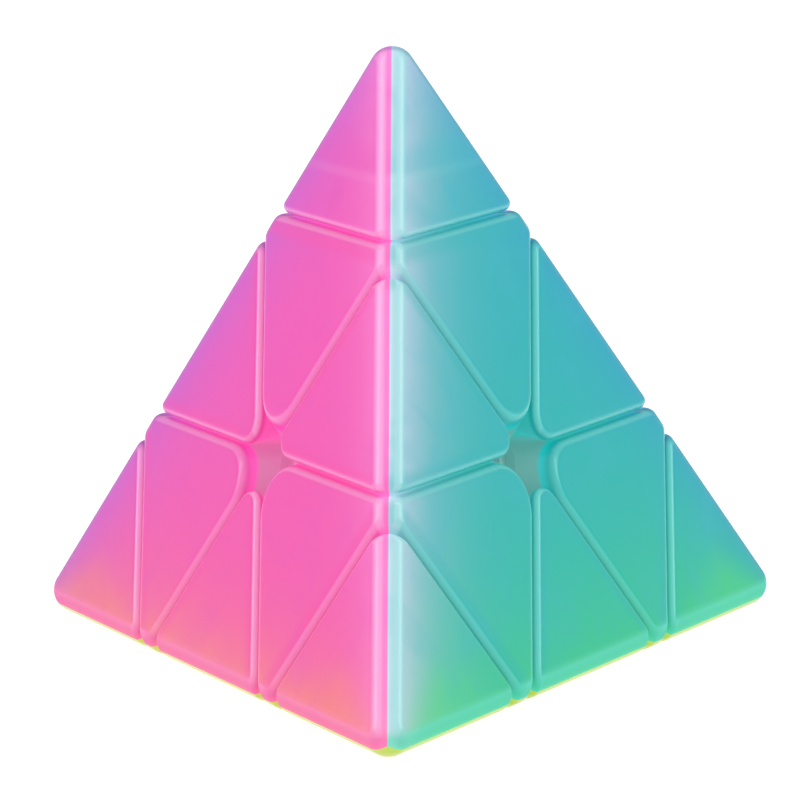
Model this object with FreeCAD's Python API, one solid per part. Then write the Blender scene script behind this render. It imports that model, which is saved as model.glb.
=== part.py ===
import FreeCAD, Part
import math
import os

# Pyramid twisty puzzle: a regular tetrahedron of turning layers round a screwed core.
# Millimetres, +Z up. The origin is the centre of the core, where the four turning axes meet.
# "Level" means the distance from the origin along one of the four axes.

Vec = FreeCAD.Vector

# Outside of the whole puzzle
EDGE_OVERALL = 98.0       # one edge, measured over the rounded corners
EDGE_ROUND = 3.0          # radius along the six long edges
WALL = 1.8                # thickness of the coloured shells
CUT_SHARE = 0.3365        # layer cut, as a share of the height above a face
TIP_SHARE = 0.6665        # tip cut, as a share of the height above a face
HALF_GAP = 0.15           # half the clearance across each cut
TIP_RIM = 1.0             # rounding of the rim of a tip
CENTRE_RIM = 1.5          # rounding of the rims of a centre
EDGE_RIM = 1.0            # rounding of the rim of an edge
CENTRE_CORNER = 6.0       # rounding of a centre's corners at the face centres
EDGE_CORNER = 3.0         # rounding of an edge's corners at the face centres

# Spherical mechanism: feet turn under the catch discs of the hubs
BALL_CORE = 7.5
FOOT_IN = 9.5
FOOT_OUT = 12.5
DISC_IN = 12.7
DISC_OUT = 15.5
SHELL_IN = 15.7           # the coloured shells stay outside this sphere
FOOT_LEVEL = 4.3          # a foot stays above this level on both of its axes
NECK_LEVEL = 6.3          # so do the neck of an edge and the disc of a hub, above this one
NOTCH_LEVEL = 6.05        # a disc stays below this level on the other three axes

# Hub, arm and screw stack, by level along an axis
ARM_RADIUS = 3.0
ARM_END = 12.0
STEM_RADIUS = 5.5
STEM_START = 8.5
STEM_BORE = 3.2
FLOOR_LOW = 12.2
FLOOR_HIGH = 14.0
TUBE_RADIUS = 6.0
TUBE_BORE = 4.2
SCREW_RADIUS = 1.5
SCREW_CLEAR = 0.2
SCREW_START = 5.2
SCREW_FIT = 0.03
WASHER_LOW = 20.5
WASHER_HIGH = 21.1
WASHER_RADIUS = 3.9
HEAD_RADIUS = 3.1
HEAD_HIGH = 23.2
HEAD_ROUND = 0.6
RECESS_WIDTH = 0.8
RECESS_LENGTH = 3.6
RECESS_DEPTH = 1.2
SPRING_LOW = 14.15
SPRING_HIGH = 20.35
SPRING_RADIUS = 2.8
SPRING_WIRE = 0.35
SPRING_HALF_TURNS = 9

# Snap stem of a tip
TIP_STEM_RADIUS = 4.0
TIP_STEM_BORE = 2.6
TIP_STEM_LOW = 26.0
TIP_SLOT_TOP = 33.0
TIP_SLOT_WIDTH = 1.2
TIP_FLANGE_RADIUS = 6.0
TIP_FLANGE_THICK = 1.4
LIP_RADIUS = 4.5
LIP_LOW = 29.3
LIP_HIGH = 30.7
GROOVE_RADIUS = 4.75
GROOVE_LOW = 29.0
GROOVE_HIGH = 31.0

# Plug that holds the two coloured halves of an edge on its foot
PLUG_HALF = 3.0           # half length across the seam
PLUG_NECK_HALF = 1.4      # half width along the edge
PLUG_NECK_LOW = 15.0
PLUG_NECK_HIGH = 18.5
PLUG_TOP = 25.0

# Sizes that follow from the ones above
EDGE_SHARP = EDGE_OVERALL + EDGE_ROUND * (2.0 * math.sqrt(6.0) - 2.0)
HEIGHT = EDGE_SHARP * math.sqrt(2.0 / 3.0)
FACE_LEVEL = HEIGHT / 4.0
CUT_LEVEL = (CUT_SHARE - 0.25) * HEIGHT
TIP_LEVEL = (TIP_SHARE - 0.25) * HEIGHT
ABOVE_CUT = CUT_LEVEL + HALF_GAP
BELOW_CUT = CUT_LEVEL - HALF_GAP
TIP_BASE = TIP_LEVEL + HALF_GAP
CENTRE_TOP = TIP_LEVEL - HALF_GAP
FAR = 100.0               # beyond every part of the puzzle
TOLERANCE = 0.001

AXES = {
    "top": Vec(0.0, 0.0, 1.0),
    "front": Vec(0.0, -math.sqrt(8.0) / 3.0, -1.0 / 3.0),
    "left": Vec(-math.sqrt(2.0 / 3.0), math.sqrt(2.0) / 3.0, -1.0 / 3.0),
    "right": Vec(math.sqrt(2.0 / 3.0), math.sqrt(2.0) / 3.0, -1.0 / 3.0),
}
# Each face is named by its colour and is the one opposite a corner.
FACE_COLOUR = {"right": "pink", "left": "cyan", "front": "violet", "top": "yellow"}
# Turns of the tetrahedron, as images of (top, front, left, right). These carry the top-front edge
# to each of the six edges.
TURNS = [
    ("top", "front", "left", "right"),
    ("top", "left", "right", "front"),
    ("top", "right", "front", "left"),
    ("front", "left", "top", "right"),
    ("front", "right", "left", "top"),
    ("left", "right", "top", "front"),
]
# These carry the top corner to each of the four corners.
CORNER_TURNS = [
    ("top", "front", "left", "right"),
    ("front", "top", "right", "left"),
    ("left", "right", "top", "front"),
    ("right", "left", "front", "top"),
]


def aim(shape, axis):
    """Turn a shape built about +Z so that +Z points along the axis."""
    turned = shape.copy()
    turned.Placement = FreeCAD.Placement(Vec(), FreeCAD.Rotation(Vec(0, 0, 1), axis))
    return turned


def slab(axis, low, high):
    """Everything between two levels along an axis."""
    box = Part.makeBox(4 * FAR, 4 * FAR, high - low, Vec(-2 * FAR, -2 * FAR, low))
    return aim(box, axis)


def rod(axis, radius, low, high):
    """A cylinder on an axis, from one level to another."""
    return aim(Part.makeCylinder(radius, high - low, Vec(0, 0, low)), axis)


def common_of(shapes):
    result = shapes[0]
    for shape in shapes[1:]:
        result = result.common(shape)
    return result


def ball_shell(radius_in, radius_out):
    return Part.makeSphere(radius_out).cut(Part.makeSphere(radius_in))


def rounded_tetrahedron(inset, radius):
    """The outer tetrahedron moved inwards by an inset, with every edge rounded."""
    sides = [slab(axis, inset - FACE_LEVEL, FAR) for axis in AXES.values()]
    solid = common_of(sides)
    return solid.makeFillet(radius, solid.Edges)


def touches(edge, shell):
    """Whether a whole edge lies on a shell."""
    first, last = edge.ParameterRange
    for share in (0.2, 0.5, 0.8):
        point = edge.valueAt(first + share * (last - first))
        if shell.distToShape(Part.Vertex(point))[0] > TOLERANCE:
            return False
    return True


def round_rim(solid, skin, tool, radius):
    """Round the edges that the cutting tool leaves on the skin."""
    rim = [edge for edge in solid.Edges if touches(edge, skin) and touches(edge, tool)]
    return solid.makeFillet(radius, rim)


def funnel(limit, radius):
    """The three-sided space of a top centre: below the cuts of the other three layers."""
    low = ABOVE_CUT - WALL - EDGE_ROUND
    high = TIP_BASE + WALL
    sides = [slab(AXES[name], -FAR, limit) for name in ("front", "left", "right")]
    solid = common_of(sides + [slab(AXES["top"], low, high)])
    corners = []
    for edge in solid.Edges:
        heights = sorted(vertex.Point.z for vertex in edge.Vertexes)
        if heights[1] - heights[0] > WALL:
            corners.append(edge)
    return solid.makeFillet(radius, corners)


def both_above(limit):
    """Everything above a level on both the top axis and the front axis."""
    return slab(AXES["top"], limit, FAR).common(slab(AXES["front"], limit, FAR))


def wedge(limit, radius):
    """The two-sided space of the edge between the top and front corners."""
    solid = both_above(limit)
    inner = min(solid.Edges, key=lambda edge: edge.CenterOfMass.Length)
    return solid.makeFillet(radius, [inner])


def sector(missing):
    """The third of space about the top axis that faces away from one lower corner."""
    away = Vec(-AXES[missing].x, -AXES[missing].y, 0).normalize()
    points = [Vec(0, 0, -FAR)]
    for sign in (-1, 1):
        arm = FreeCAD.Rotation(Vec(0, 0, 1), sign * 60).multVec(away)
        points.append(arm * 2 * FAR + Vec(0, 0, -FAR))
    face = Part.Face(Part.makePolygon(points + [points[0]]))
    return face.extrude(Vec(0, 0, 2 * FAR))


def turn_matrix(images):
    """The rotation that carries the corners top, front, left, right to their images.

    The outer products of the four axes with themselves add up to 4/3 of the identity.
    """
    rows = []
    for row in range(3):
        values = []
        for column in range(3):
            total = 0.0
            for start, image in zip(TURNS[0], images):
                total += AXES[image][row] * AXES[start][column]
            values.append(total * 3.0 / 4.0)
        rows.append(values + [0.0])
    flat = rows[0] + rows[1] + rows[2] + [0.0, 0.0, 0.0, 1.0]
    return FreeCAD.Matrix(*flat)


def export(name, shape):
    shape.exportStep(os.path.join("parts", name + ".step"))


def make_tip(skin, hollow):
    """The coloured shell of the top tip, its snap stem, and the hole the stem fills."""
    base = slab(AXES["top"], TIP_BASE, FAR)
    shell = round_rim(skin.common(base), skin.Shells[0], base.Shells[0], TIP_RIM)
    shell = shell.cut(hollow.common(slab(AXES["top"], TIP_BASE + WALL, FAR)))
    shell = shell.cut(rod(AXES["top"], TIP_STEM_RADIUS, 0, TIP_BASE + 2 * WALL))
    flange_low = TIP_BASE + WALL
    stem = rod(AXES["top"], TIP_STEM_RADIUS, TIP_STEM_LOW, flange_low)
    stem = stem.fuse(rod(AXES["top"], TIP_FLANGE_RADIUS, flange_low, flange_low + TIP_FLANGE_THICK))
    stem = stem.fuse(rod(AXES["top"], LIP_RADIUS, LIP_LOW, LIP_HIGH))
    stem = stem.cut(rod(AXES["top"], TIP_STEM_BORE, TIP_STEM_LOW - WALL, TIP_BASE))
    depth = TIP_SLOT_TOP - TIP_STEM_LOW + WALL
    for size in ((2 * LIP_RADIUS + WALL, TIP_SLOT_WIDTH), (TIP_SLOT_WIDTH, 2 * LIP_RADIUS + WALL)):
        corner = Vec(-size[0] / 2, -size[1] / 2, TIP_STEM_LOW - WALL)
        stem = stem.cut(Part.makeBox(size[0], size[1], depth, corner))
    return shell, stem


def make_centre(skin, hollow):
    """The coloured shell of the top centre and its hub."""
    cuts = funnel(BELOW_CUT, CENTRE_CORNER)
    lid = slab(AXES["top"], ABOVE_CUT, CENTRE_TOP)
    shell = skin.common(cuts).common(lid)
    shell = round_rim(shell, skin.Shells[0], cuts.Shells[0], CENTRE_RIM)
    shell = round_rim(shell, skin.Shells[0], lid.Shells[0], CENTRE_RIM)
    room = hollow.common(funnel(BELOW_CUT - WALL, CENTRE_CORNER - WALL))
    room = room.common(slab(AXES["top"], ABOVE_CUT + WALL, CENTRE_TOP - WALL))
    shell = shell.cut(room).cut(Part.makeSphere(SHELL_IN))
    shell = shell.cut(rod(AXES["top"], TUBE_RADIUS, 0, FAR))
    hub = ball_shell(DISC_IN, DISC_OUT).common(slab(AXES["top"], NECK_LEVEL, FAR))
    for name in ("front", "left", "right"):
        hub = hub.cut(slab(AXES[name], NOTCH_LEVEL, FAR))
    hub = hub.fuse(rod(AXES["top"], STEM_RADIUS, STEM_START, FLOOR_HIGH))
    hub = hub.fuse(rod(AXES["top"], TUBE_RADIUS, FLOOR_HIGH, CENTRE_TOP))
    hub = hub.cut(rod(AXES["top"], STEM_BORE, 0, FLOOR_LOW))
    hub = hub.cut(rod(AXES["top"], SCREW_RADIUS + SCREW_CLEAR, 0, FAR))
    hub = hub.cut(rod(AXES["top"], TUBE_BORE, FLOOR_HIGH, FAR))
    hub = hub.cut(rod(AXES["top"], GROOVE_RADIUS, GROOVE_LOW, GROOVE_HIGH))
    return shell, hub


def make_edge(skin, hollow):
    """The coloured shell of the edge between top and front, and its foot."""
    outward = (AXES["top"] + AXES["front"]).normalize()
    cuts = wedge(ABOVE_CUT, EDGE_CORNER)
    shell = round_rim(skin.common(cuts), skin.Shells[0], cuts.Shells[0], EDGE_RIM)
    room = hollow.common(wedge(ABOVE_CUT + WALL, EDGE_CORNER - WALL))
    shell = shell.cut(room).cut(Part.makeSphere(SHELL_IN))
    middle = slab(Vec(1, 0, 0), -PLUG_HALF, PLUG_HALF)
    along = (AXES["top"] - AXES["front"]).normalize()
    bridge = common_of([
        middle,
        slab(along, -PLUG_NECK_HALF, PLUG_NECK_HALF),
        slab(outward, PLUG_NECK_LOW, PLUG_NECK_HIGH),
    ])
    shell = shell.cut(bridge)
    plug = common_of([room, middle, slab(outward, 0, PLUG_TOP)])
    foot = common_of([ball_shell(FOOT_IN, FOOT_OUT), both_above(FOOT_LEVEL)])
    neck = common_of([ball_shell(FOOT_OUT - WALL, DISC_OUT), both_above(NECK_LEVEL)])
    foot = foot.fuse([neck, bridge, plug])
    return shell, foot


def make_spring():
    """A coil about +Z, built of tilted half rings that meet smoothly."""
    rise = (SPRING_HIGH - SPRING_LOW - 2 * SPRING_WIRE) / SPRING_HALF_TURNS
    coil = None
    for index in range(SPRING_HALF_TURNS):
        side = 1 if index % 2 == 0 else -1
        low = SPRING_LOW + SPRING_WIRE + index * rise
        start = Vec(side * SPRING_RADIUS, 0, low)
        middle = Vec(0, 0, low + rise / 2)
        ring = Part.makeCircle(SPRING_WIRE, start, Vec(0, 1, 0))
        turn_axis = (start - middle).cross(Vec(0, side, 0))
        half_ring = Part.Face(Part.Wire([ring])).revolve(middle, turn_axis, 180)
        coil = half_ring if coil is None else coil.fuse(half_ring)
    return coil


def make_core():
    """The spider and its four screws, springs and washers."""
    spider = Part.makeSphere(BALL_CORE)
    screws = []
    springs = []
    washers = []
    for axis in AXES.values():
        spider = spider.fuse(rod(axis, ARM_RADIUS, 0, ARM_END))
    for axis in AXES.values():
        spider = spider.cut(rod(axis, SCREW_RADIUS + SCREW_FIT, SCREW_START, FAR))
        head = Part.makeCylinder(HEAD_RADIUS, HEAD_HIGH - WASHER_HIGH, Vec(0, 0, WASHER_HIGH))
        rim = [edge for edge in head.Edges if edge.CenterOfMass.z > HEAD_HIGH - TOLERANCE]
        head = head.makeFillet(HEAD_ROUND, rim)
        for size in ((RECESS_LENGTH, RECESS_WIDTH), (RECESS_WIDTH, RECESS_LENGTH)):
            corner = Vec(-size[0] / 2, -size[1] / 2, HEAD_HIGH - RECESS_DEPTH)
            head = head.cut(Part.makeBox(size[0], size[1], RECESS_DEPTH, corner))
        shank = Part.makeCylinder(SCREW_RADIUS, WASHER_HIGH - SCREW_START, Vec(0, 0, SCREW_START))
        screws.append(aim(head.fuse(shank), axis))
        springs.append(aim(make_spring(), axis))
        washer = rod(axis, WASHER_RADIUS, WASHER_LOW, WASHER_HIGH)
        washers.append(washer.cut(rod(axis, SCREW_RADIUS + SCREW_CLEAR, WASHER_LOW, WASHER_HIGH)))
    export("core_spider", spider)
    export("tension_screws", Part.makeCompound(screws))
    export("tension_springs", Part.makeCompound(springs))
    export("washers", Part.makeCompound(washers))


os.makedirs("parts", exist_ok=True)
skin_solid = rounded_tetrahedron(0.0, EDGE_ROUND)
hollow_solid = rounded_tetrahedron(WALL, EDGE_ROUND - WALL)
tip_shell, tip_stem = make_tip(skin_solid, hollow_solid)
centre_shell, centre_hub = make_centre(skin_solid, hollow_solid)
edge_shell, edge_foot = make_edge(skin_solid, hollow_solid)

# Tips and centres, split into three coloured sectors and copied to the four corners
thirds = {}
for missing_corner in ("front", "left", "right"):
    slice_solid = sector(missing_corner)
    thirds[missing_corner] = (tip_shell.common(slice_solid), centre_shell.common(slice_solid))
for images in CORNER_TURNS:
    matrix = turn_matrix(images)
    corner_name = images[0]
    export("tip_" + corner_name + "_stem", tip_stem.transformed(matrix, True))
    export("centre_" + corner_name + "_hub", centre_hub.transformed(matrix, True))
    for missing_corner, (tip_third, centre_third) in thirds.items():
        colour = FACE_COLOUR[images[TURNS[0].index(missing_corner)]]
        export("tip_" + corner_name + "_" + colour, tip_third.transformed(matrix, True))
        export("centre_" + corner_name + "_" + colour, centre_third.transformed(matrix, True))

# Edges, split into two coloured halves and copied to the six edges
halves = {
    "right": edge_shell.common(slab(Vec(1, 0, 0), -FAR, 0)),
    "left": edge_shell.common(slab(Vec(1, 0, 0), 0, FAR)),
}
for images in TURNS:
    matrix = turn_matrix(images)
    edge_name = "edge_" + images[0] + "_" + images[1]
    export(edge_name + "_foot", edge_foot.transformed(matrix, True))
    for missing_corner, half in halves.items():
        colour = FACE_COLOUR[images[TURNS[0].index(missing_corner)]]
        export(edge_name + "_" + colour, half.transformed(matrix, True))

make_core()
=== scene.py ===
import bmesh
import bpy
import math
from mathutils import Matrix, Vector


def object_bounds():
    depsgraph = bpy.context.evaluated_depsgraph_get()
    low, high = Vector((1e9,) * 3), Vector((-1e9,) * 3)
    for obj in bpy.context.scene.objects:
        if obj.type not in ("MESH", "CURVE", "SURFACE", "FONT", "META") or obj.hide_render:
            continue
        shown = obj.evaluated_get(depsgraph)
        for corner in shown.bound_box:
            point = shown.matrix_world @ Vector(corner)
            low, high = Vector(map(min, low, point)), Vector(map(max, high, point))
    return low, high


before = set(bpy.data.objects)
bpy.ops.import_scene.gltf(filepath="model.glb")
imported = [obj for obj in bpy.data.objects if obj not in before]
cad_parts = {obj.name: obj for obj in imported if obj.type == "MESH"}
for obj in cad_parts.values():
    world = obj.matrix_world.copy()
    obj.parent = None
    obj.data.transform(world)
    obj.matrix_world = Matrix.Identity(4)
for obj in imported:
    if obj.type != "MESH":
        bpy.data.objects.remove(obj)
cad_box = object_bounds()

# Pyramid twisty puzzle in frosted, softly translucent plastic. Metres, in the frame of the model: the origin
# is the puzzle's centre and +Z runs through the top corner.
# A "level" is the distance from the centre along a corner's axis; a "depth" is the distance below a face.
MM = 0.001
CENTRE_SHARE = 0.25     # shares of the height from a face to the corner opposite it
LAYER_CUT_SHARE = 0.3365
TIP_CUT_SHARE = 0.6665
FACE_LEVEL = -cad_box[0][2]
HEIGHT = FACE_LEVEL / CENTRE_SHARE
CUT_LEVEL = (LAYER_CUT_SHARE - CENTRE_SHARE) * HEIGHT
TIP_LEVEL = (TIP_CUT_SHARE - CENTRE_SHARE) * HEIGHT
AXES = {
    "top": Vector((0, 0, 1)),
    "front": Vector((0, -math.sqrt(8) / 3, -1 / 3)),
    "left": Vector((-math.sqrt(2 / 3), math.sqrt(2) / 3, -1 / 3)),
    "right": Vector((math.sqrt(2 / 3), math.sqrt(2) / 3, -1 / 3)),
}
# Each coloured face is the one opposite a corner. The base comes first, so that it is the first neighbour
# of every other face.
OPPOSITE = {"yellow": "top", "pink": "right", "cyan": "left", "violet": "front"}


def srgb(red, green, blue):
    """A colour given as 0-255 display values, as a linear colour."""
    linear = []
    for value in (red, green, blue):
        share = value / 255
        linear.append(share / 12.92 if share <= 0.04045 else ((share + 0.055) / 1.055) ** 2.4)
    return (*linear, 1.0)


BLACK = srgb(0, 0, 0)
WHITE = srgb(255, 255, 255)


# ---------------------------------------------------------------- node helpers

def connect(tree, value, socket):
    """Links an output to an input, or sets the input's own value."""
    if isinstance(value, bpy.types.NodeSocket):
        tree.links.new(value, socket)
    else:
        socket.default_value = value


def node(tree, kind, inputs=None, **settings):
    """A new node with its settings, and with its inputs linked or set."""
    made = tree.nodes.new(kind)
    for name, value in settings.items():
        setattr(made, name, value)
    for key, value in (inputs or {}).items():
        connect(tree, value, made.inputs[key])
    return made


def calc(tree, operation, *values, clamp=False):
    """A sum, product or other operation on values."""
    made = node(tree, "ShaderNodeMath", dict(enumerate(values)), operation=operation, use_clamp=clamp)
    return made.outputs[0]


def mix(tree, factor, low, high):
    """A colour between two colours."""
    made = node(tree, "ShaderNodeMix", data_type="RGBA")
    sockets = {socket.identifier: socket for socket in made.inputs}
    connect(tree, factor, sockets["Factor_Float"])
    connect(tree, low, sockets["A_Color"])
    connect(tree, high, sockets["B_Color"])
    return next(socket for socket in made.outputs if socket.identifier == "Result_Color")


def paint(tree, colour, tint, mask, strength):
    """Lays a tint over a colour where the mask is, at a strength."""
    return mix(tree, calc(tree, "MULTIPLY", mask, strength), colour, tint)


def ramp(tree, value, low, high, out_low=0.0, out_high=1.0):
    """A smooth step from one output value to another."""
    made = node(tree, "ShaderNodeMapRange", {
        "Value": value, "From Min": low, "From Max": high, "To Min": out_low, "To Max": out_high,
    }, interpolation_type="SMOOTHSTEP")
    return made.outputs["Result"]


def rise(tree, distance, span):
    """Nothing up to the start of a span in millimetres, and one past its end."""
    return ramp(tree, distance, span[0] * MM, span[1] * MM)


def fall(tree, distance, span, before=1.0, after=0.0):
    """One value up to the start of a span in millimetres, and another past its end."""
    return ramp(tree, distance, span[0] * MM, span[1] * MM, before, after)


def hump(tree, distance, up_span, down_span):
    """Nothing, rising to one over a span, and falling back to nothing over another."""
    return calc(tree, "MULTIPLY", rise(tree, distance, up_span), fall(tree, distance, down_span))


def level_of(tree, point, axis):
    """How far a point lies from the centre along an axis."""
    made = node(tree, "ShaderNodeVectorMath", {0: point, 1: axis}, operation="DOT_PRODUCT")
    return made.outputs["Value"]


FLOAT = "NodeSocketFloat"
COLOR = "NodeSocketColor"
VECTOR = "NodeSocketVector"


def new_group(name, inputs, outputs):
    """A shader node group with its sockets: the group, what it is given, and where its results go."""
    group = bpy.data.node_groups.new(name, "ShaderNodeTree")
    for socket_name, kind in inputs.items():
        group.interface.new_socket(socket_name, in_out="INPUT", socket_type=kind)
    for socket_name, kind in outputs.items():
        group.interface.new_socket(socket_name, in_out="OUTPUT", socket_type=kind)
    return group, group.nodes.new("NodeGroupInput").outputs, group.nodes.new("NodeGroupOutput").inputs


def place_group(tree, group, inputs):
    """Puts a group in a tree, with its inputs linked or set: what it gives out."""
    made = tree.nodes.new("ShaderNodeGroup")
    made.node_tree = group
    for name, value in inputs.items():
        connect(tree, value, made.inputs[name])
    return made.outputs


# ---------------------------------------------------------------- shared effects

def levels_group():
    """Depths below the four coloured faces, and the two highest levels along the corners' axes."""
    outputs = dict.fromkeys([*OPPOSITE, "Highest", "Second Highest"], FLOAT)
    group, given, result = new_group("Levels", {"Point": VECTOR}, outputs)
    levels = []
    for colour, corner in OPPOSITE.items():
        level = level_of(group, given["Point"], tuple(AXES[corner]))
        group.links.new(calc(group, "ADD", level, FACE_LEVEL), result[colour])
        levels.append(level)
    high = [calc(group, "MAXIMUM", *levels[:2]), calc(group, "MAXIMUM", *levels[2:])]
    low = [calc(group, "MINIMUM", *levels[:2]), calc(group, "MINIMUM", *levels[2:])]
    second = calc(group, "MAXIMUM", calc(group, "MINIMUM", *high), calc(group, "MAXIMUM", *low))
    group.links.new(calc(group, "MAXIMUM", *high), result["Highest"])
    group.links.new(second, result["Second Highest"])
    return group


def neighbour_glow_group():
    """Light that comes through a neighbouring face and tints this one: strongest at the shared edge."""
    group, given, result = new_group(
        "Neighbour glow",
        {"Color": COLOR, "Depth": FLOAT, "Tint": COLOR, "Reach": FLOAT, "Strength": FLOAT},
        {"Color": COLOR},
    )
    ratio = calc(group, "DIVIDE", calc(group, "MAXIMUM", given["Depth"], 0.0), given["Reach"])
    fading = calc(group, "EXPONENT", calc(group, "MULTIPLY", ratio, -1.0))
    factor = calc(group, "MULTIPLY", fading, given["Strength"], clamp=True)
    group.links.new(mix(group, factor, given["Color"], given["Tint"]), result["Color"])
    return group


# Along an outer edge, in mm below the neighbouring face
HIGHLIGHT_STRIPE_UP = (1.7, 2.1)
HIGHLIGHT_STRIPE_DOWN = (2.7, 3.2)
OUTLINE_DOWN = (2.9, 3.9)
ROUNDING_DOWN = (2.6, 4.3)


def edge_lines_group():
    """Along an outer edge: a pale stripe of painted highlight on the rounding, a thin outline, and the whole
    rounding.
    """
    outputs = {"Highlight Stripe": FLOAT, "Outline": FLOAT, "Rounding": FLOAT}
    group, given, result = new_group("Edge lines", {"Depth": FLOAT}, outputs)
    group.links.new(hump(group, given["Depth"], HIGHLIGHT_STRIPE_UP, HIGHLIGHT_STRIPE_DOWN), result["Highlight Stripe"])
    group.links.new(fall(group, given["Depth"], OUTLINE_DOWN), result["Outline"])
    group.links.new(fall(group, given["Depth"], ROUNDING_DOWN), result["Rounding"])
    return group


# Inside a tip, in mm beyond its cut. The stem's shadow is an oval whose middle is a little above the cut.
BAND_UP = (7.4, 8.6)
BAND_DOWN = (9.4, 13.0)
BAND_SHARE = 0.7
LINE_UP = (6.4, 7.2)
LINE_DOWN = (7.4, 8.4)
STEM_MIDDLE = 4.0
STEM_ACROSS = 0.6
STEM_ALONG = 0.7
STEM_DOWN = (0.4, 2.6)
# In mm above the base. The marks are faint in the lower tips, which also show their inner floor with the
# base's light painted on it.
HIGH_TIP = (20.0, 40.0)
LOW_TIP_SHARE = 0.35
FLOOR_SLOPE = 0.9
FLOOR_UP = (-3.0, 6.0)


def tip_inside_group():
    """What shows faintly through the wall of a tip: the painted shadow of the snap stem and of a band beyond
    it, a pale line under that band, and the inner floor on the side of the base with the base's light painted
    on it."""
    group, given, result = new_group(
        "Inside of tips",
        {"Beyond": FLOAT, "Side": FLOAT, "Other Side": FLOAT, "Base": FLOAT},
        {"Shadow": FLOAT, "Line": FLOAT, "Floor Glow": FLOAT},
    )
    beyond = given["Beyond"]
    high_tip = rise(group, given["Base"], HIGH_TIP)

    across = calc(group, "MULTIPLY", calc(group, "SUBTRACT", given["Side"], given["Other Side"]), STEM_ACROSS)
    along = calc(group, "MULTIPLY", calc(group, "SUBTRACT", beyond, STEM_MIDDLE * MM), STEM_ALONG)
    squares = [calc(group, "MULTIPLY", length, length) for length in (across, along)]
    stem = fall(group, calc(group, "SQRT", calc(group, "ADD", *squares)), STEM_DOWN)
    shade_band = calc(group, "MULTIPLY", hump(group, beyond, BAND_UP, BAND_DOWN), BAND_SHARE)
    share = calc(group, "MULTIPLY_ADD", high_tip, 1.0 - LOW_TIP_SHARE, LOW_TIP_SHARE)
    shadow = calc(group, "MULTIPLY", calc(group, "MAXIMUM", stem, shade_band), share)
    group.links.new(shadow, result["Shadow"])

    line = hump(group, beyond, LINE_UP, LINE_DOWN)
    group.links.new(calc(group, "MULTIPLY", line, high_tip), result["Line"])

    sides = calc(group, "MINIMUM", calc(group, "MINIMUM", given["Side"], given["Other Side"]), beyond)
    above = calc(group, "SUBTRACT", sides, calc(group, "MULTIPLY", given["Base"], FLOOR_SLOPE))
    group.links.new(rise(group, above, FLOOR_UP), result["Floor Glow"])
    return group


# Over the rounded rim of a shell, where a highlight is painted, in mm below its own face
RIM_UP = (0.02, 0.15)
RIM_DOWN = (0.5, 1.1)
WALL_UP = (0.5, 1.9)
# In mm from a cut, and in mm from the seam between two shells
NEAR_CUT = (1.4, 2.2)
OTHER_RIM_SHARE = 0.5
NEAR_SEAM = (0.02, 0.16)


def shell_relief_group():
    """Where a shell turns from its face to its side walls, and its seams with the shells beside it.

    The rims carry a painted highlight, palest along the cuts across the axis of the second neighbour's
    corner.
    On the pink and cyan faces those cuts are the upright ones."""
    group, given, result = new_group(
        "Shell relief",
        {"Own": FLOAT, "First": FLOAT, "Second": FLOAT, "Third": FLOAT},
        {"Rim Highlight": FLOAT, "Wall": FLOAT, "Seam": FLOAT},
    )
    own = given["Own"]
    rim = hump(group, own, RIM_UP, RIM_DOWN)
    from_cuts = []
    for level in (CUT_LEVEL, TIP_LEVEL):
        from_cut = calc(group, "SUBTRACT", given["Second"], FACE_LEVEL + level)
        from_cuts.append(calc(group, "ABSOLUTE", from_cut))
    upright = fall(group, calc(group, "MINIMUM", *from_cuts), NEAR_CUT, after=OTHER_RIM_SHARE)
    group.links.new(calc(group, "MULTIPLY", rim, upright), result["Rim Highlight"])
    group.links.new(rise(group, own, WALL_UP), result["Wall"])
    from_seam = None
    for name in ("First", "Second", "Third"):
        gap = calc(group, "ABSOLUTE", calc(group, "SUBTRACT", own, given[name]))
        from_seam = gap if from_seam is None else calc(group, "MINIMUM", from_seam, gap)
    group.links.new(fall(group, from_seam, NEAR_SEAM), result["Seam"])
    return group


# Round the middle of a face, in mm from the middle and in mm below the face
NEAR_HOLE = (7.5, 10.0)
HOLE_DEEP = (1.7, 2.3)


def face_hole_group():
    """Round the hole at the middle of a face: near it on the outside, and deep inside it."""
    group, given, result = new_group(
        "Face hole", {"Point": VECTOR, "Own": FLOAT}, {"Near": FLOAT, "Inside": FLOAT},
    )
    level = calc(group, "SUBTRACT", given["Own"], FACE_LEVEL)
    size = node(group, "ShaderNodeVectorMath", {0: given["Point"]}, operation="LENGTH").outputs["Value"]
    squares = [calc(group, "MULTIPLY", length, length) for length in (size, level)]
    from_middle = calc(group, "SQRT", calc(group, "MAXIMUM", calc(group, "SUBTRACT", *squares), 0.0))
    near = fall(group, from_middle, NEAR_HOLE)
    group.links.new(near, result["Near"])
    group.links.new(calc(group, "MULTIPLY", near, rise(group, given["Own"], HOLE_DEEP)), result["Inside"])
    return group


FLOW_HEIGHT = 3.0       # of the flow marks, against the grain's height
ROUGHNESS_DRIFT = 0.12


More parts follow.
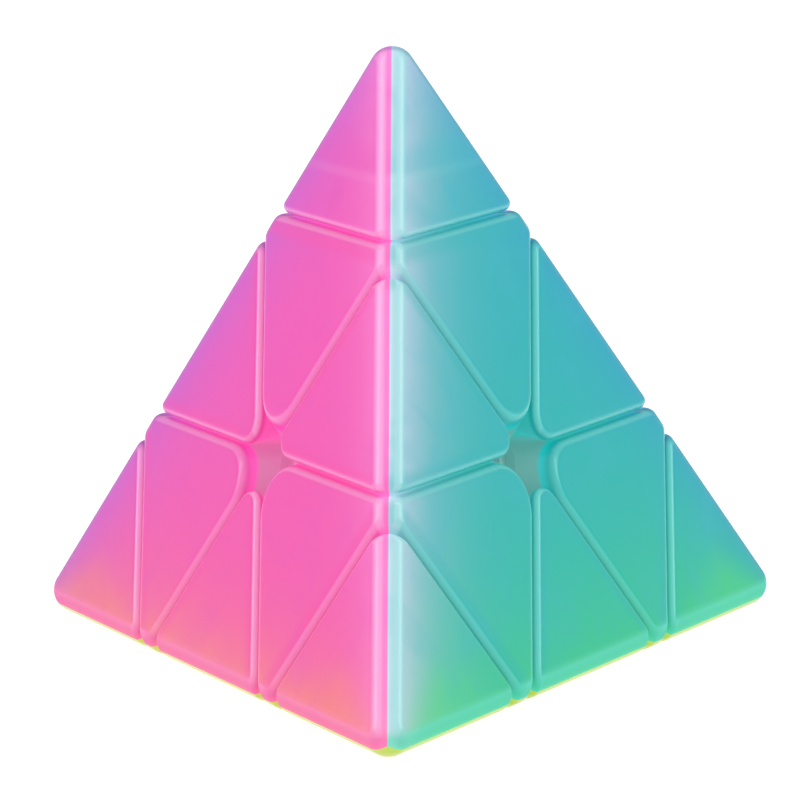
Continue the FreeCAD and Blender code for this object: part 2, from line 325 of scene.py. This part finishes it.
def frosting_group():
    """Fine frosted grain with faint flow marks: a bump height, a roughness and a mottle mask."""
    group, given, result = new_group(
        "Frosted moulding",
        {"Point": VECTOR, "Roughness": FLOAT},
        {"Height": FLOAT, "Roughness": FLOAT, "Mottle": FLOAT},
    )
    point = given["Point"]
    grain = node(group, "ShaderNodeTexNoise", {"Vector": point, "Scale": 5200.0, "Detail": 2.0})
    flow = node(group, "ShaderNodeTexNoise", {
        "Vector": point, "Scale": 160.0, "Detail": 3.0, "Distortion": 0.6,
    })
    cloud = node(group, "ShaderNodeTexNoise", {
        "Vector": point, "Scale": 90.0, "Detail": 2.0, "Distortion": 1.0,
    })
    height = calc(group, "MULTIPLY_ADD", flow.outputs["Fac"], FLOW_HEIGHT, grain.outputs["Fac"])
    group.links.new(height, result["Height"])
    drift = calc(group, "MULTIPLY_ADD", flow.outputs["Fac"], ROUGHNESS_DRIFT, -ROUGHNESS_DRIFT / 2)
    group.links.new(calc(group, "ADD", drift, given["Roughness"]), result["Roughness"])
    group.links.new(ramp(group, cloud.outputs["Fac"], low=0.45, high=0.75), result["Mottle"])
    return group


LEVELS = levels_group()
GLOW = neighbour_glow_group()
EDGE_LINES = edge_lines_group()
TIP_INSIDE = tip_inside_group()
RELIEF = shell_relief_group()
FACE_HOLE = face_hole_group()
FROSTING = frosting_group()


# ---------------------------------------------------------------- materials

def new_material(name, settings):
    """A material with one Principled shader whose plain values are set on its own sockets."""
    material = bpy.data.materials.new(name)
    material.use_nodes = True
    tree = material.node_tree
    tree.nodes.clear()
    shader = node(tree, "ShaderNodeBsdfPrincipled", settings)
    node(tree, "ShaderNodeOutputMaterial", {"Surface": shader.outputs["BSDF"]})
    point = node(tree, "ShaderNodeTexCoord").outputs["Object"]
    return material, tree, shader.inputs, point


def add_bump(tree, shader, height, distance, strength):
    """Fine relief on the surface, from a height that changes over it."""
    bump = node(tree, "ShaderNodeBump", {"Height": height, "Distance": distance, "Strength": strength})
    tree.links.new(bump.outputs["Normal"], shader["Normal"])


# The colours of each face's shells:
#   body, wall     the face, and the side walls down in the gaps
#   rim  the painted highlight on the rounded rim of each piece
#   shade          mottling, and the snap stem's shadow in a tip
#   shade_band     the band of painted shade beside a cut on centres and edges
#   hole, floor    the face's central hole, and a lower tip's inner floor with the base's light painted on it
#   plain_edges    the neighbours towards which the rims fade out
#   highlight_stripe  the neighbour beside which a painted highlight stripe runs, its tint and its strength
#   outlines       for each: the neighbour, the part of Edge lines, the tint and the strength
#   glows          for each: the neighbour, the tint, the reach in mm and the strength; later ones lie on top
SHELLS = {
    "pink": {
        "body": srgb(240, 77, 180), "wall": srgb(230, 102, 178), "rim": srgb(255, 178, 226),
        "shade": srgb(228, 76, 184), "shade_band": srgb(244, 70, 166),
        "hole": srgb(206, 112, 162), "floor": srgb(243, 132, 112),
        "plain_edges": ("yellow", "violet"),
        "highlight_stripe": ("cyan", srgb(255, 172, 226), 0.5),
        "outlines": (
            ("violet", "Outline", srgb(130, 84, 150), 0.55),
            ("yellow", "Rounding", srgb(236, 98, 168), 0.7),
        ),
        "glows": (
            ("yellow", srgb(246, 84, 122), 17.0, 0.5),
            ("yellow", srgb(243, 172, 92), 4.8, 0.78),
            ("violet", srgb(166, 98, 220), 7.0, 0.85),
            ("cyan", srgb(255, 146, 218), 4.0, 0.9),
        ),
    },
    "cyan": {
        "body": srgb(4, 174, 181), "wall": srgb(56, 172, 168), "rim": srgb(118, 224, 216),
        "shade": srgb(52, 178, 194), "shade_band": srgb(26, 176, 180),
        "hole": srgb(90, 158, 152), "floor": srgb(72, 212, 120),
        "plain_edges": ("yellow", "violet"),
        "highlight_stripe": ("pink", srgb(194, 226, 236), 0.55),
        "outlines": (
            ("violet", "Outline", srgb(44, 116, 150), 0.5),
            ("yellow", "Rounding", srgb(76, 204, 170), 0.7),
        ),
        "glows": (
            ("yellow", srgb(50, 206, 108), 14.0, 0.8),
            ("violet", srgb(38, 148, 206), 5.0, 0.9),
            ("pink", srgb(206, 212, 236), 5.4, 1.15),
            ("pink", srgb(172, 228, 226), 0.9, 2.6),
        ),
    },
    "violet": {
        "body": srgb(96, 100, 218), "wall": srgb(96, 92, 206), "rim": srgb(170, 172, 245),
        "shade": srgb(90, 92, 210), "shade_band": srgb(86, 82, 206),
        "hole": srgb(120, 120, 172), "floor": srgb(120, 190, 140),
        "plain_edges": ("yellow",),
        "highlight_stripe": ("cyan", srgb(150, 190, 240), 0.4),
        "outlines": (
            ("yellow", "Rounding", srgb(96, 120, 150), 0.6),
        ),
        "glows": (
            ("yellow", srgb(120, 190, 150), 8.0, 0.7),
            ("pink", srgb(195, 110, 225), 7.0, 0.85),
            ("cyan", srgb(80, 165, 220), 7.0, 0.85),
        ),
    },
    "yellow": {
        "body": srgb(202, 212, 66), "wall": srgb(180, 192, 72), "rim": srgb(226, 234, 150),
        "shade": srgb(190, 202, 60), "shade_band": srgb(176, 190, 60),
        "hole": srgb(160, 170, 112), "floor": srgb(196, 204, 92),
        "plain_edges": (),
        "highlight_stripe": ("violet", srgb(220, 230, 150), 0.4),
        "outlines": (),
        "glows": (
            ("pink", srgb(224, 196, 92), 5.0, 0.5),
            ("cyan", srgb(150, 208, 72), 6.0, 0.75),
            ("violet", srgb(140, 190, 140), 8.0, 0.7),
        ),
    },
}
# How strongly each mark is painted
FLOOR_STRENGTH = 0.42
STEM_STRENGTH = 0.45
LINE_STRENGTH = 0.08
SHADE_BAND_STRENGTH = 0.4
MOTTLE_STRENGTH = 0.25
RIM_HIGHLIGHT_STRENGTH = 0.68
SEAM_STRENGTH = 0.15
# In mm: the band of painted shade beside a cut, and the fading of the rims' painted highlight towards a plain
# edge
BESIDE_CUT = (1.5, 3.2)
RIM_FADE = (1.5, 4.5)
PLASTIC_IOR = 1.46
FROSTED_ROUGHNESS = 0.34
COAT = 0.32
# On the outlines the plastic is duller
DULL_COAT = COAT / 4
DULL_ROUGHNESS = 0.3
# The walls of the gaps are darkened as painted shade, and glow in their own colour as painted light through
# the plastic
WALL_GLOW = 0.75
WALL_DARKENING = 0.5


def paint_inside(tree, kind, look, colour, levels, neighbours):
    """What each kind of piece lets through from its inside: in a tip the stem's painted shadow, a pale line
    and the base's painted light on the inner floor; on centres and edges a band of painted shade beside a
    cut.
    """
    if kind == "tip":
        inside = place_group(tree, TIP_INSIDE, {
            "Beyond": calc(tree, "SUBTRACT", levels["Highest"], TIP_LEVEL),
            "Base": neighbours[0], "Side": neighbours[1], "Other Side": neighbours[2],
        })
        # Painted light from the base on the inner floor, then the stem's painted shadow and a pale line
        colour = paint(tree, colour, look["floor"], inside["Floor Glow"], FLOOR_STRENGTH)
        colour = paint(tree, colour, look["shade"], inside["Shadow"], STEM_STRENGTH)
        return paint(tree, colour, look["rim"], inside["Line"], LINE_STRENGTH)
    # Centres and edges: painted shade in a band beside the cut
    if kind == "centre":
        from_cut = calc(tree, "SUBTRACT", TIP_LEVEL, levels["Highest"])
    else:
        from_cut = calc(tree, "SUBTRACT", levels["Second Highest"], CUT_LEVEL)
    return mix(tree, fall(tree, from_cut, BESIDE_CUT, before=SHADE_BAND_STRENGTH), colour, look["shade_band"])


def paint_outlines(tree, shader, look, colour, levels, roughness):
    """Tinted lines along the outer edges, the thin dark outlines being painted shade; the coat and the gloss
    are duller on them.
    """
    dull = None
    for neighbour, part, tint, strength in look["outlines"]:
        line = place_group(tree, EDGE_LINES, {"Depth": levels[neighbour]})[part]
        colour = paint(tree, colour, tint, line, strength)
        dull = line if dull is None else calc(tree, "MAXIMUM", line, dull)
    if dull is None:
        connect(tree, COAT, shader["Coat Weight"])
        connect(tree, roughness, shader["Roughness"])
    else:
        connect(tree, ramp(tree, dull, 0.0, 1.0, COAT, DULL_COAT), shader["Coat Weight"])
        connect(tree, calc(tree, "MULTIPLY_ADD", dull, DULL_ROUGHNESS, roughness), shader["Roughness"])
    return colour


def shell_material(kind, name, look):
    """Frosted coloured plastic that takes a glow from the faces round the corner."""
    material, tree, shader, point = new_material(f"{name}_{kind}_shell", {
        "IOR": PLASTIC_IOR,
        "Specular IOR Level": 0.35,
        "Coat Roughness": 0.16,
        "Subsurface Weight": 0.2,
        "Subsurface Scale": 1.2 * MM,
        "Subsurface Radius": (1.0, 0.7, 0.7),
        "Emission Strength": WALL_GLOW,
    })
    frosting = place_group(tree, FROSTING, {"Point": point, "Roughness": FROSTED_ROUGHNESS})
    levels = place_group(tree, LEVELS, {"Point": point})
    neighbours = [levels[colour] for colour in OPPOSITE if colour != name]
    own = levels[name]
    relief = place_group(tree, RELIEF, {
        "Own": own, "First": neighbours[0], "Second": neighbours[1], "Third": neighbours[2],
    })
    wall = relief["Wall"]

    wall_tint = wall
    if kind == "centre":
        hole = place_group(tree, FACE_HOLE, {"Point": point, "Own": own})
        wall_tint = calc(tree, "MULTIPLY", wall, calc(tree, "SUBTRACT", 1.0, hole["Near"]))
    colour = mix(tree, wall_tint, look["body"], look["wall"])
    for neighbour, tint, reach, strength in look["glows"]:
        colour = place_group(tree, GLOW, {
            "Color": colour, "Depth": levels[neighbour],
            "Tint": tint, "Reach": reach * MM, "Strength": strength,
        })["Color"]
    colour = paint_inside(tree, kind, look, colour, levels, neighbours)
    colour = paint(tree, colour, look["shade"], frosting["Mottle"], MOTTLE_STRENGTH)

    # A painted highlight: a pale stripe along the rounding beside a neighbour, kept off the side walls
    neighbour, tint, strength = look["highlight_stripe"]
    highlight_stripe = place_group(tree, EDGE_LINES, {"Depth": levels[neighbour]})["Highlight Stripe"]
    on_face = calc(tree, "MULTIPLY", highlight_stripe, calc(tree, "SUBTRACT", 1.0, wall))
    colour = paint(tree, colour, tint, on_face, strength)
    colour = paint_outlines(tree, shader, look, colour, levels, frosting["Roughness"])

    # Painted highlight on the rims, faded out towards the plain edges
    rim = relief["Rim Highlight"]
    for neighbour in look["plain_edges"]:
        rim = calc(tree, "MULTIPLY", rim, rise(tree, levels[neighbour], RIM_FADE))
    colour = paint(tree, colour, look["rim"], rim, RIM_HIGHLIGHT_STRENGTH)
    colour = paint(tree, colour, look["wall"], relief["Seam"], SEAM_STRENGTH)
    if kind == "centre":
        colour = mix(tree, hole["Inside"], colour, look["hole"])

    # Painted shade darkens the side walls in the gaps; their emission is a painted glow in their own colour
    tree.links.new(paint(tree, colour, BLACK, wall, WALL_DARKENING), shader["Base Color"])
    tree.links.new(mix(tree, wall, BLACK, colour), shader["Emission Color"])
    add_bump(tree, shader, frosting["Height"], distance=0.01 * MM, strength=0.25)
    return material


# In mm below a face, where its light stops tinting the mechanism
FACE_LIGHT = (4.0, 24.0)
FACE_LIGHT_STRENGTH = 0.85
MILKY_ROUGHNESS = 0.42


def milky_material():
    """The pale mechanism, coloured and lit by the light inside each face: painted light, as tints near the
    faces and an emitted glow.
    """
    material, tree, shader, point = new_material("milky_inner", {
        "IOR": PLASTIC_IOR,
        "Subsurface Weight": 0.3,
        "Subsurface Scale": 2.0 * MM,
        "Emission Strength": 0.4,
    })
    frosting = place_group(tree, FROSTING, {"Point": point, "Roughness": MILKY_ROUGHNESS})
    levels = place_group(tree, LEVELS, {"Point": point})
    colour = mix(tree, frosting["Mottle"], srgb(205, 212, 212), srgb(180, 190, 192))
    for name, look in SHELLS.items():
        near = fall(tree, levels[name], FACE_LIGHT, before=FACE_LIGHT_STRENGTH)
        colour = mix(tree, near, colour, look["hole"])
    tree.links.new(colour, shader["Base Color"])
    tree.links.new(colour, shader["Emission Color"])
    tree.links.new(frosting["Roughness"], shader["Roughness"])
    add_bump(tree, shader, frosting["Height"], distance=0.02 * MM, strength=0.3)
    return material


def steel_material():
    """Zinc-plated steel with a cloudy patina and a fine grain."""
    material, tree, shader, point = new_material("zinc_steel", {"Metallic": 1.0})
    grain = node(tree, "ShaderNodeTexNoise", {"Vector": point, "Scale": 2500.0, "Detail": 4.0})
    patina = node(tree, "ShaderNodeTexNoise", {"Vector": point, "Scale": 400.0, "Detail": 2.0})
    colour = mix(tree, patina.outputs["Fac"], srgb(190, 190, 192), srgb(150, 152, 158))
    tree.links.new(colour, shader["Base Color"])
    roughness = ramp(tree, grain.outputs["Fac"], low=0.3, high=0.7, out_low=0.25, out_high=0.45)
    tree.links.new(roughness, shader["Roughness"])
    add_bump(tree, shader, grain.outputs["Fac"], distance=0.01 * MM, strength=0.3)
    return material


SHELL_KINDS = ("tip", "centre", "edge")
STEEL_NODES = ("tension_screws", "tension_springs", "washers")
shells = {}
for kind in SHELL_KINDS:
    for name, look in SHELLS.items():
        shells[kind, name] = shell_material(kind, name, look)
milky = milky_material()
steel = steel_material()

# A shell's node is named KIND_CORNER_COLOUR or KIND_CORNER_CORNER_COLOUR.
for name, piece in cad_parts.items():
    words = name.split("_")
    finish = shells.get((words[0], words[-1]), steel if name in STEEL_NODES else milky)
    for slot in piece.material_slots:
        slot.material = finish


# ---------------------------------------------------------------- stage, light and camera

# Metres, degrees and watts; the lens is in mm
FLOOR_RADIUS = 6.0
FLOOR_GAP = 0.02 * MM
FLOOR_SIDES = 96
FLOOR_GLOW = 0.88
FLOOR_TONES = ((0.26, 0.26, 0.26, 1), (0.24, 0.24, 0.24, 1))
SOFTBOX_AZIMUTH = 75
SOFTBOX_ELEVATION = 40
SOFTBOX_DISTANCE = 1.0
SOFTBOX_WIDTH = 0.2
SOFTBOX_HEIGHT = 0.9
SOFTBOX_POWER = 3.0
HORIZON_LIGHT = 0.6
OVERHEAD_LIGHT = 0.75
VIEW_AZIMUTH = 2.18
VIEW_ELEVATION = 11.06
VIEW_ROLL = -1.06
VIEW_DISTANCE = 0.714
VIEW_LENS = 244.3
VIEW_TARGET = Vector((0.0002, 0.0, 0.0125))
NEAREST_SEEN = 0.01


def make_floor():
    """A pale disc just under the base, bright enough to leave almost no shadow."""
    mesh = bpy.data.meshes.new("floor")
    floor = bpy.data.objects.new("floor", mesh)
    bpy.context.scene.collection.objects.link(floor)
    shape = bmesh.new()
    bmesh.ops.create_circle(shape, cap_ends=True, segments=FLOOR_SIDES, radius=FLOOR_RADIUS)
    bmesh.ops.translate(shape, verts=shape.verts, vec=(0, 0, cad_box[0][2] - FLOOR_GAP))
    shape.to_mesh(mesh)
    shape.free()
    material, tree, shader, point = new_material("pale_floor", {
        "Roughness": 0.9,
        "Specular IOR Level": 0.0,
        "Emission Color": WHITE,
        "Emission Strength": FLOOR_GLOW,
    })
    cloud = node(tree, "ShaderNodeTexNoise", {"Vector": point, "Scale": 3.0})
    tone = mix(tree, cloud.outputs["Fac"], *FLOOR_TONES)
    tree.links.new(tone, shader["Base Color"])
    mesh.materials.append(material)


def direction(azimuth, elevation):
    """From the puzzle towards a viewer, in degrees; azimuth 0 is in front of the front corner."""
    turn = math.radians(azimuth)
    lift = math.radians(elevation)
    return Vector((math.sin(turn) * math.cos(lift), -math.cos(turn) * math.cos(lift), math.sin(lift)))


def place(thing, back, distance, target, roll=0.0):
    """Puts a camera or light at a distance from the target, looking at it."""
    right = Vector((-back.y, back.x, 0)).normalized()
    up = back.cross(right)
    turn = math.radians(roll)
    tilted_right = math.cos(turn) * right + math.sin(turn) * up
    tilted_up = math.cos(turn) * up - math.sin(turn) * right
    axes = Matrix((tilted_right, tilted_up, back)).transposed().to_4x4()
    thing.matrix_world = Matrix.Translation(target + back * distance) @ axes
    bpy.context.scene.collection.objects.link(thing)


def softbox(name, azimuth):
    """A tall soft light that faces the puzzle."""
    light = bpy.data.lights.new(name, "AREA")
    light.shape = "RECTANGLE"
    light.size = SOFTBOX_WIDTH
    light.size_y = SOFTBOX_HEIGHT
    light.energy = SOFTBOX_POWER
    back = direction(azimuth, SOFTBOX_ELEVATION)
    place(bpy.data.objects.new(name, light), back, SOFTBOX_DISTANCE, Vector((0, 0, 0)))


def make_world():
    """An even studio tent, a little brighter overhead than at the horizon."""
    world = bpy.data.worlds.new("studio")
    world.use_nodes = True
    tree = world.node_tree
    background = tree.nodes["Background"].inputs
    sky = node(tree, "ShaderNodeTexCoord").outputs["Generated"]
    height = node(tree, "ShaderNodeSeparateXYZ", {"Vector": sky}).outputs["Z"]
    tree.links.new(ramp(tree, height, 0.0, 1.0, HORIZON_LIGHT, OVERHEAD_LIGHT), background["Strength"])
    background["Color"].default_value = WHITE
    bpy.context.scene.world = world


def make_camera():
    """Looks at the front edge from a little above the base."""
    settings = bpy.data.cameras.new("camera")
    settings.lens = VIEW_LENS
    settings.clip_start = NEAREST_SEEN
    camera = bpy.data.objects.new("camera", settings)
    place(camera, direction(VIEW_AZIMUTH, VIEW_ELEVATION), VIEW_DISTANCE, VIEW_TARGET, VIEW_ROLL)
    bpy.context.scene.camera = camera


make_floor()
make_world()
softbox("left_softbox", -SOFTBOX_AZIMUTH)
softbox("right_softbox", SOFTBOX_AZIMUTH)
make_camera()
bpy.context.scene.view_settings.view_transform = "Standard"
